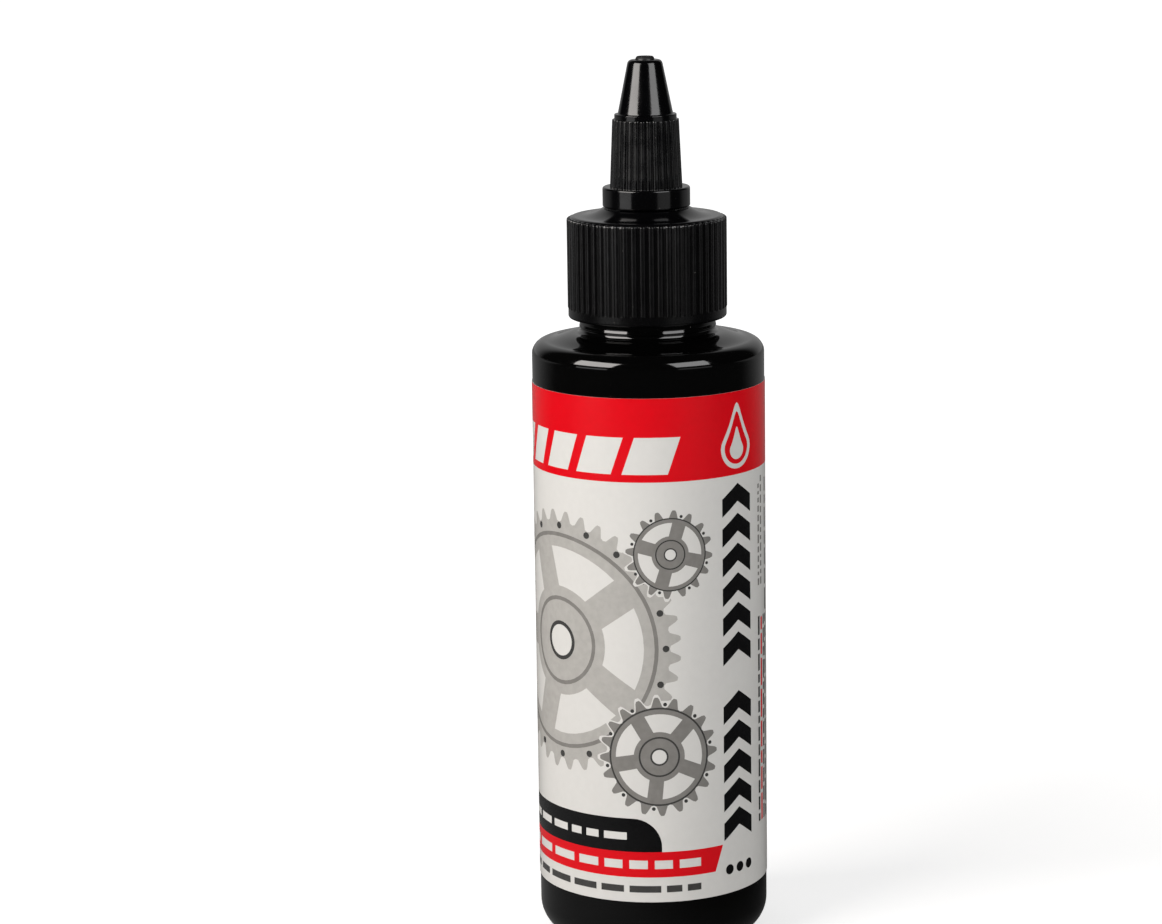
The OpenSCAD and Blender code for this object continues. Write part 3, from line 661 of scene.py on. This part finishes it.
def feed(tree, node, sockets):
    """Sets each input in sockets to its value, or links it if the value is another node's output."""
    for socket, value in sockets.items():
        if isinstance(value, bpy.types.NodeSocket):
            tree.links.new(value, node.inputs[socket])
        else:
            node.inputs[socket].default_value = value


def add(tree, kind, sockets=None, **settings):
    """Adds a node of a kind with its settings, and feeds its inputs."""
    node = tree.nodes.new(kind)
    for option, value in settings.items():
        setattr(node, option, value)
    feed(tree, node, sockets or {})
    return node


def finish(name, code, **values):
    """A material with a Principled shader, its own colour and plain socket values."""
    material = bpy.data.materials.new(name)
    material.use_nodes = True
    shader = material.node_tree.nodes["Principled BSDF"]
    feed(material.node_tree, shader, {"Base Color": srgb(code), **values})
    return material, material.node_tree, shader


def per_mm(size):
    """The scale of a pattern whose features are this many millimetres apart, in Object coordinates."""
    return 1 / (size * MM)


print("mid grey #808080 is", round(srgb("#808080")[0], 3), "in linear light")

# %% [markdown]
# ### Dust
#
# Black plastic shows every speck. Dust is drawn as small balls scattered through space: where
# one cuts the surface there is a pale, matt speck. Each Voronoi cell has one ball at its centre, and
# its random colour decides how large the ball is, so that most cells have none.

# %% Specks of dust
def dust(tree, place, spacing, share, size):
    """1 inside a ball round a cell's point, and 0 outside.

    The ball's radius is size * (random - (1 - share)) / share, in cells.
    """
    cells = add(tree, "ShaderNodeTexVoronoi", {"Vector": place, "Scale": per_mm(spacing)})
    luck = add(tree, "ShaderNodeSeparateColor", {0: cells.outputs["Color"]})
    radius = add(tree, "ShaderNodeMapRange", {0: luck.outputs[0], 1: 1 - share, 2: 1.0, 3: 0.0, 4: size})
    reach = {0: cells.outputs["Distance"], 1: radius.outputs[0]}
    return add(tree, "ShaderNodeMath", reach, operation="LESS_THAN").outputs[0]


# %% [markdown]
# ### Black PET
#
# PET blown against a polished mould is as glossy as glass. What tells the eye that it is blown and
# not turned is a slight waviness of the wall, some 8 mm from wave to wave, which makes
# reflections swim a little. The index of refraction is 1.57.

# %% Bottle material
PET_BLACK, PET_ROUGHNESS = "#030303", 0.07
pet, tree, shader = finish("black_pet_blown", PET_BLACK, Roughness=PET_ROUGHNESS, IOR=1.57)
place = add(tree, "ShaderNodeTexCoord").outputs["Object"]
waves = add(tree, "ShaderNodeTexNoise", {"Vector": place, "Scale": per_mm(8), "Detail": 1.0})
bump = add(tree, "ShaderNodeBump", {"Height": waves.outputs[0], "Strength": 1.0, "Distance": 0.03 * MM})
speck = dust(tree, place, 0.9, 0.08, 0.09)
colour = add(tree, "ShaderNodeMix", {0: speck, 6: srgb(PET_BLACK), 7: srgb("#77736F")}, data_type="RGBA")
rough = add(tree, "ShaderNodeMapRange", {0: speck, 3: PET_ROUGHNESS, 4: 0.7})
feed(tree, shader, {
    "Base Color": colour.outputs[2], "Roughness": rough.outputs[0], "Normal": bump.outputs[0],
})
bottle_skin.data.materials.append(pet)
print(pet.name, "has", len(tree.nodes), "nodes")

# %% [markdown]
# ### Black polypropylene, satin
#
# The skirt's mould has a fine spark-eroded grain, which scatters the light into a satin sheen. The
# crests of its ribs are touched most, so they are rubbed a little smoother, and their colour is made
# greyer in patches: partly wear, partly a painted highlight along the crests. The mould of
# the cap's top was polished, so the top mirrors the room: the height decides between the two.
# The grain of 0.05 mm is too fine to show in a picture of the whole bottle, so it is drawn at 0.18 mm.

# %% Cap material
CAP_BLACK, CAP_WEAR_AND_HIGHLIGHT, POLISH_Z = "#040405", "#111112", (125.6 * MM, 125.9 * MM)
satin, tree, shader = finish("black_polypropylene_satin", CAP_BLACK, Roughness=0.2, IOR=1.49)
place = add(tree, "ShaderNodeTexCoord").outputs["Object"]
crest = add(tree, "ShaderNodeAttribute", attribute_name="mark").outputs["Fac"]
grain = add(tree, "ShaderNodeTexNoise", {"Vector": place, "Scale": per_mm(0.18), "Detail": 2.0})
level = add(tree, "ShaderNodeSeparateXYZ", {0: place}).outputs[2]
skirt = add(tree, "ShaderNodeMapRange", {0: level, 1: POLISH_Z[0], 2: POLISH_Z[1], 3: 1.0, 4: 0.0}).outputs[0]
depth = add(tree, "ShaderNodeMath", {0: skirt, 1: 0.6}, operation="MULTIPLY")
bump = add(tree, "ShaderNodeBump", {
    "Height": grain.outputs[0], "Strength": depth.outputs[0], "Distance": FINE_DEPTH,
})
patches = add(tree, "ShaderNodeTexNoise", {"Vector": place, "Scale": per_mm(2.5), "Detail": 3.0})
# Painted highlight in part: patches on the rib crests are coloured greyer, as wear and as a light line along
# each crest.
wear_and_highlight_patches = add(tree, "ShaderNodeMapRange", {0: patches.outputs[0], 1: 0.35, 2: 0.7})
wear_and_highlight = add(tree, "ShaderNodeMath", {0: crest, 1: wear_and_highlight_patches.outputs[0]}, operation="MULTIPLY")
speck = dust(tree, place, 0.8, 0.08, 0.1)
worn_and_highlight = add(tree, "ShaderNodeMix", {
    0: wear_and_highlight.outputs[0], 6: srgb(CAP_BLACK), 7: srgb(CAP_WEAR_AND_HIGHLIGHT),
}, data_type="RGBA")
colour = add(tree, "ShaderNodeMix", {0: speck, 6: worn_and_highlight.outputs[2], 7: srgb("#6E6B68")}, data_type="RGBA")
grainy = add(tree, "ShaderNodeMapRange", {0: wear_and_highlight.outputs[0], 3: 0.24, 4: 0.17})
rough = add(tree, "ShaderNodeMix", {0: skirt, 2: 0.13, 3: grainy.outputs[0]})
feed(tree, shader, {
    "Base Color": colour.outputs[2], "Roughness": rough.outputs[0], "Normal": bump.outputs[0],
})
cap_skin.data.materials.clear()
cap_skin.data.materials.append(satin)
print(satin.name, "has", len(tree.nodes), "nodes")

# %% [markdown]
# ### Black polypropylene, polished and blasted
#
# The tip's mould is polished on the collar and the nozzle and blasted on the grip. The mark that was
# stored with the points chooses between the two finishes. Fingers have scuffed the grip in soft
# patches. Its lowest millimetre is left unscuffed and darker: painted shade, as if the collar shaded it.
# A fine noise breaks up the gloss of the rest the way handling does, and the lip round the orifice,
# which touches chains, is dull.

# %% Tip material
TIP_BLACK, TIP_SCUFFED, COLLAR_SHADE_BAND, LIP_BAND = "#030304", "#0D0D0E", 1.0, 0.1
polish, tree, shader = finish("black_polypropylene_polished", TIP_BLACK, Roughness=0.13, IOR=1.53)
place = add(tree, "ShaderNodeTexCoord").outputs["Object"]
blasted = add(tree, "ShaderNodeAttribute", attribute_name="mark").outputs["Fac"]
level = add(tree, "ShaderNodeSeparateXYZ", {0: place}).outputs[2]
# Painted shade: the grip's lowest millimetre keeps the darkest colour, as if the collar shaded it; above it
# the scuffed patches are lighter.
out_of_collar_shade = add(tree, "ShaderNodeMapRange", {
    0: level, 1: (GRIP_LOW_Z + COLLAR_SHADE_BAND) * MM, 2: (GRIP_LOW_Z + 2 * COLLAR_SHADE_BAND) * MM, 3: 0.0, 4: 1.0,
})
smears = add(tree, "ShaderNodeTexNoise", {"Vector": place, "Scale": per_mm(3), "Detail": 4.0})
touched = add(tree, "ShaderNodeMapRange", {0: smears.outputs[0], 1: 0.35, 2: 0.6, 3: 0.35, 4: 1.0})
touched_out_of_shade = add(tree, "ShaderNodeMath", {0: out_of_collar_shade.outputs[0], 1: touched.outputs[0]}, operation="MULTIPLY")
scuff_and_collar_shade = add(tree, "ShaderNodeMath", {0: touched_out_of_shade.outputs[0], 1: blasted}, operation="MULTIPLY")
grain = add(tree, "ShaderNodeTexNoise", {"Vector": place, "Scale": per_mm(0.2), "Detail": 2.0})
depth = add(tree, "ShaderNodeMapRange", {0: blasted, 3: 0.05, 4: 0.25})
bump = add(tree, "ShaderNodeBump", {
    "Height": grain.outputs[0], "Strength": depth.outputs[0], "Distance": FINE_DEPTH,
})
speck = dust(tree, place, 0.55, 0.1, 0.12)
tone = add(tree, "ShaderNodeMix", {
    0: scuff_and_collar_shade.outputs[0], 6: srgb(TIP_BLACK), 7: srgb(TIP_SCUFFED),
}, data_type="RGBA")
colour = add(tree, "ShaderNodeMix", {0: speck, 6: tone.outputs[2], 7: srgb("#5F5C5A")}, data_type="RGBA")
smeared = add(tree, "ShaderNodeMapRange", {0: smears.outputs[0], 1: 0.3, 2: 0.8, 3: 0.11, 4: 0.2})
dulled = add(tree, "ShaderNodeMapRange", {
    0: level, 1: NOZZLE_TOP_Z * MM, 2: (NOZZLE_TOP_Z + LIP_BAND) * MM, 3: 0.0, 4: 1.0,
})
smooth = add(tree, "ShaderNodeMix", {0: dulled.outputs[0], 2: smeared.outputs[0], 3: 0.6})
rough = add(tree, "ShaderNodeMix", {0: scuff_and_collar_shade.outputs[0], 2: smooth.outputs[0], 3: 0.36})
feed(tree, shader, {
    "Base Color": colour.outputs[2], "Roughness": rough.outputs[0], "Normal": bump.outputs[0],
})
tip_skin.data.materials.append(polish)
print(polish.name, "has", len(tree.nodes), "nodes")

# %% [markdown]
# ### Printed film
#
# The inks lie under a clear satin laminate, so all of them share one gloss, and only the colour
# differs. The laminate has a faint orange peel, about 0.6 mm from dimple to dimple. Solid inks aren't
# quite even: a press lays them down a few per cent lighter and darker, which a soft noise gives.

# %% Label materials
INK_CODES = {
    "white": ("#DAD9D6", "#D4D3D0"), "red": ("#DE0014", "#D40010"), "black": ("#0C0C0D", "#141415"),
    "graphite": ("#3A3A3A", "#4A4948"), "steel": ("#8A8885", "#75736F"), "silver": ("#B9B7B3", "#A3A19D"),
}
for ink in inks:
    plain, uneven = INK_CODES[ink]
    film_ink, tree, shader = finish(f"{ink}_ink_under_satin_laminate", plain, Roughness=0.21, IOR=1.49)
    place = add(tree, "ShaderNodeTexCoord").outputs["Object"]
    cloud = add(tree, "ShaderNodeTexNoise", {"Vector": place, "Scale": per_mm(1.2), "Detail": 4.0})
    colour = add(tree, "ShaderNodeMix", {
        0: cloud.outputs[0], 6: srgb(plain), 7: srgb(uneven),
    }, data_type="RGBA")
    peel = add(tree, "ShaderNodeTexNoise", {"Vector": place, "Scale": per_mm(0.6), "Detail": 1.0})
    bump = add(tree, "ShaderNodeBump", {"Height": peel.outputs[0], "Strength": 0.5, "Distance": FINE_DEPTH})
    sheen = add(tree, "ShaderNodeMapRange", {0: cloud.outputs[0], 3: 0.18, 4: 0.24})
    feed(tree, shader, {
        "Base Color": colour.outputs[2], "Roughness": sheen.outputs[0], "Normal": bump.outputs[0],
    })
    film_mesh.materials.append(film_ink)
print("inks on the film:", [material.name for material in film_mesh.materials])

# %% [markdown]
# ### Foam and lubricant
#
# The CAD solids of the sealing ring and of the lubricant have the right shape, so they stay and only
# get their finish. The ring is expanded polyethylene foam, with closed cells about 0.3 mm across.
# The lubricant is a waxy amber liquid, slightly cloudy.

# %% Materials for the CAD solids that stay
foam, tree, shader = finish("expanded_polyethylene_foam", "#E4E2DA", Roughness=0.6, IOR=1.5)
place = add(tree, "ShaderNodeTexCoord").outputs["Object"]
bubbles = add(tree, "ShaderNodeTexVoronoi", {"Vector": place, "Scale": per_mm(0.3)})
cell = bubbles.outputs["Distance"]
bump = add(tree, "ShaderNodeBump", {"Height": cell, "Strength": 0.8, "Distance": 5 * FINE_DEPTH})
tone = add(tree, "ShaderNodeMix", {0: cell, 6: srgb("#D2D0C8"), 7: srgb("#EEECE4")}, data_type="RGBA")
feed(tree, shader, {"Base Color": tone.outputs[2], "Normal": bump.outputs[0]})

liquid, tree, shader = finish("waxy_amber_lubricant", "#B98A3C", Roughness=0.05, IOR=1.47)
place = add(tree, "ShaderNodeTexCoord").outputs["Object"]
swirl = add(tree, "ShaderNodeTexNoise", {
    "Vector": place, "Scale": per_mm(12), "Detail": 3.0, "Distortion": 1.5,
})
tone = add(tree, "ShaderNodeMix", {
    0: swirl.outputs[0], 6: srgb("#A87728"), 7: srgb("#CDA25A"),
}, data_type="RGBA")
feed(tree, shader, {
    "Base Color": tone.outputs[2], "Subsurface Weight": 0.3, "Subsurface Radius": (0.004, 0.002, 0.0008),
})
for node_name, material in (("cap_liner", foam), ("lubricant", liquid)):
    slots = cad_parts[node_name].data.materials
    for index in range(len(slots)):
        slots[index] = material
    print(node_name, "is dressed in", [used.name for used in slots])

# %% [markdown]
# ## The camera
#
# The camera was found by fitting the edges of the caps, rings and label in the photograph. It stands
# 0.59 m in front of the bottle and a little above it, so the eye looks down on the cap's top by
# about 7 degrees. The three small angles are put together as two crossed directions: where it
# looks, and which way is right. The lens is the focal length in pixels, over the picture's width.

# %% Camera
PITCH, YAW, ROLL = math.radians(11.24), math.radians(-1.14), math.radians(-0.841)
CAMERA_PLACE, SENSOR_MM, FOCAL_PIXELS, WIDTH_PIXELS = (0, -0.5902, 0.2006), 36, 3493.2, 1162
look = Vector((math.sin(YAW) * math.cos(PITCH), math.cos(YAW) * math.cos(PITCH), -math.sin(PITCH)))
level = Vector((math.cos(YAW), -math.sin(YAW), 0))
upright = level.cross(look)
right = math.cos(ROLL) * level + math.sin(ROLL) * upright
up = math.cos(ROLL) * upright - math.sin(ROLL) * level
camera = bpy.data.objects.new("camera", bpy.data.cameras.new("camera"))
bpy.context.scene.collection.objects.link(camera)
facing = Matrix((right, up, -look)).transposed().to_4x4()
camera.matrix_world = Matrix.Translation(CAMERA_PLACE) @ facing
camera.data.sensor_width, camera.data.lens = SENSOR_MM, SENSOR_MM * FOCAL_PIXELS / WIDTH_PIXELS
camera.data.clip_start, camera.data.clip_end = 0.01, 20
bpy.context.scene.camera = camera
print("lens", round(camera.data.lens, 1), "mm")

# %% [markdown]
# ## Studio
#
# Two softboxes stand in front, one to each side, with a dimmer strip under each for the light that
# the table throws back. On black plastic the lamps are seen more than their light is, so their
# place and height come from the bright strips on the nozzle: the strip's angle, doubled, is the angle
# to the lamp. Behind the bottle the room is white, which lights the back of the label too, and in
# front of it, where the camera stands, it is dark. Gloss sees that white as a dimmer grey.

# %% Softboxes
LAMP_AWAY, AIM_Z = 0.6, 0.125


def softbox(name, turn, rise, width, height, radiance, code="#FFFFFF"):
    """An area lamp at two angles from the front, aimed at the axis; its power is radiance * pi * area."""
    lamp = bpy.data.lights.new(name, "AREA")
    lamp.shape, lamp.size, lamp.size_y = "RECTANGLE", width, height
    lamp.energy = radiance * math.pi * width * height
    lamp.color = srgb(code)[:3]
    turn, rise = math.radians(turn), math.radians(rise)
    direction = Vector((math.sin(turn) * math.cos(rise), -math.cos(turn) * math.cos(rise), math.sin(rise)))
    holder = bpy.data.objects.new(name, lamp)
    bpy.context.scene.collection.objects.link(holder)
    spot = Matrix.Translation(direction * LAMP_AWAY + Vector((0, 0, AIM_Z)))
    holder.matrix_world = spot @ direction.to_track_quat("Z", "Y").to_matrix().to_4x4()
    print(f"{name}: {lamp.energy:.2f} W")


softbox("softbox_left", -57, 27, 0.46, 0.36, 8.0, "#FFFBF7")
softbox("softbox_right", 45, 27, 0.39, 0.36, 4.1)
softbox("table_glow_left", -57, -5, 0.36, 0.07, 1.2)
softbox("table_glow_right", 47, -5, 0.38, 0.07, 0.45)

# %% World
EASED = "SMOOTHSTEP"


def rays(tree):
    """1 for gloss and 0 for other rays, then 1 for what is seen straight or through a clear piece."""
    path_kind = add(tree, "ShaderNodeLightPath").outputs
    direct = {0: path_kind["Is Camera Ray"], 1: path_kind["Is Transmission Ray"]}
    seen = add(tree, "ShaderNodeMath", direct, operation="MAXIMUM")
    return path_kind["Is Glossy Ray"], seen.outputs[0]


world = bpy.data.worlds.new("white_room")
bpy.context.scene.world = world
world.use_nodes = True
tree = world.node_tree
glossy, seen = rays(tree)
generated = add(tree, "ShaderNodeTexCoord").outputs["Generated"]
back = add(tree, "ShaderNodeSeparateXYZ", {0: generated}).outputs[1]
behind = add(tree, "ShaderNodeMapRange", {
    0: back, 1: 0.58, 2: 0.88, 3: 0.01, 4: 0.38,
}, interpolation_type=EASED)
around = add(tree, "ShaderNodeMapRange", {
    0: back, 1: 0.0, 2: 0.6, 3: 0.05, 4: 0.35,
}, interpolation_type=EASED)
fill = add(tree, "ShaderNodeMix", {0: glossy, 2: around.outputs[0], 3: behind.outputs[0]})
strength = add(tree, "ShaderNodeMix", {0: seen, 2: fill.outputs[0], 3: 1.0})
feed(tree, tree.nodes["Background"], {"Color": srgb("#FFFFFF"), "Strength": strength.outputs[0]})
print("world:", len(tree.nodes), "nodes")

# %% [markdown]
# ## Floor
#
# The floor is a pale sheet that runs far past the view. It is lit by the lamps, so it takes the
# bottle's shadow, and what the lamps leave short of white is added for camera rays only. In the
# gloss of the plastic the floor is grey behind the bottle and dark in front, like the room, with one
# painted glow to the left of the foot: a patch that shines in the gloss though no lamp lights it.

# %% Floor
FLOOR_HALF, FLOOR_Z, PAINTED_GLOW_SPOT = 9, -0.0002, (-0.07, 0.0, 0.0)
floor_mesh = bpy.data.meshes.new("floor")
floor_corners = [(x * FLOOR_HALF, y * FLOOR_HALF, FLOOR_Z) for x, y in ((-1, -1), (1, -1), (1, 1), (-1, 1))]
floor_mesh.from_pydata(floor_corners, [], [(0, 1, 2, 3)])
floor = bpy.data.objects.new("floor", floor_mesh)
bpy.context.scene.collection.objects.link(floor)
sweep, tree, shader = finish("matt_white_paper_sweep", "#D8D8D8", Roughness=0.9)
glossy, seen = rays(tree)
point = add(tree, "ShaderNodeTexCoord").outputs["Object"]
away = add(tree, "ShaderNodeVectorMath", {0: point}, operation="LENGTH").outputs["Value"]
short = add(tree, "ShaderNodeMapRange", {
    0: away, 1: 0.08, 2: 0.35, 3: 0.6, 4: 1.0,
}, interpolation_type=EASED)
lift = add(tree, "ShaderNodeMath", {0: seen, 1: short.outputs[0]}, operation="MULTIPLY")
feed(tree, shader, {
    "Specular IOR Level": 0.1, "Emission Color": srgb("#FFFFFF"), "Emission Strength": lift.outputs[0],
})
back = add(tree, "ShaderNodeSeparateXYZ", {0: point}).outputs[1]
behind = add(tree, "ShaderNodeMapRange", {
    0: back, 1: 0.1, 2: 0.5, 3: 0.02, 4: 0.2,
}, interpolation_type=EASED)
# Painted glow: a patch of floor left of the foot gives off light for gloss rays only; no lamp lights it.
from_painted_glow = add(tree, "ShaderNodeVectorMath", {0: point, 1: PAINTED_GLOW_SPOT}, operation="DISTANCE").outputs["Value"]
beside = add(tree, "ShaderNodeMapRange", {
    0: from_painted_glow, 1: 0.04, 2: 0.12, 3: 0.14, 4: 0.0,
}, interpolation_type=EASED)
both = add(tree, "ShaderNodeMath", {0: behind.outputs[0], 1: beside.outputs[0]}, operation="ADD")
mirrored = add(tree, "ShaderNodeEmission", {"Strength": both.outputs[0]})
either = add(tree, "ShaderNodeMixShader", {0: glossy, 1: shader.outputs[0], 2: mirrored.outputs[0]})
feed(tree, tree.nodes["Material Output"], {"Surface": either.outputs[0]})
floor_mesh.materials.append(sweep)
print("floor:", len(tree.nodes), "nodes")

# %% [markdown]
# ## Sizes
#
# The dressed model must be the same size as the CAD model. The last cell only sets the view transform to
# Standard.

# %% View transform
bpy.context.scene.view_settings.view_transform = "Standard"
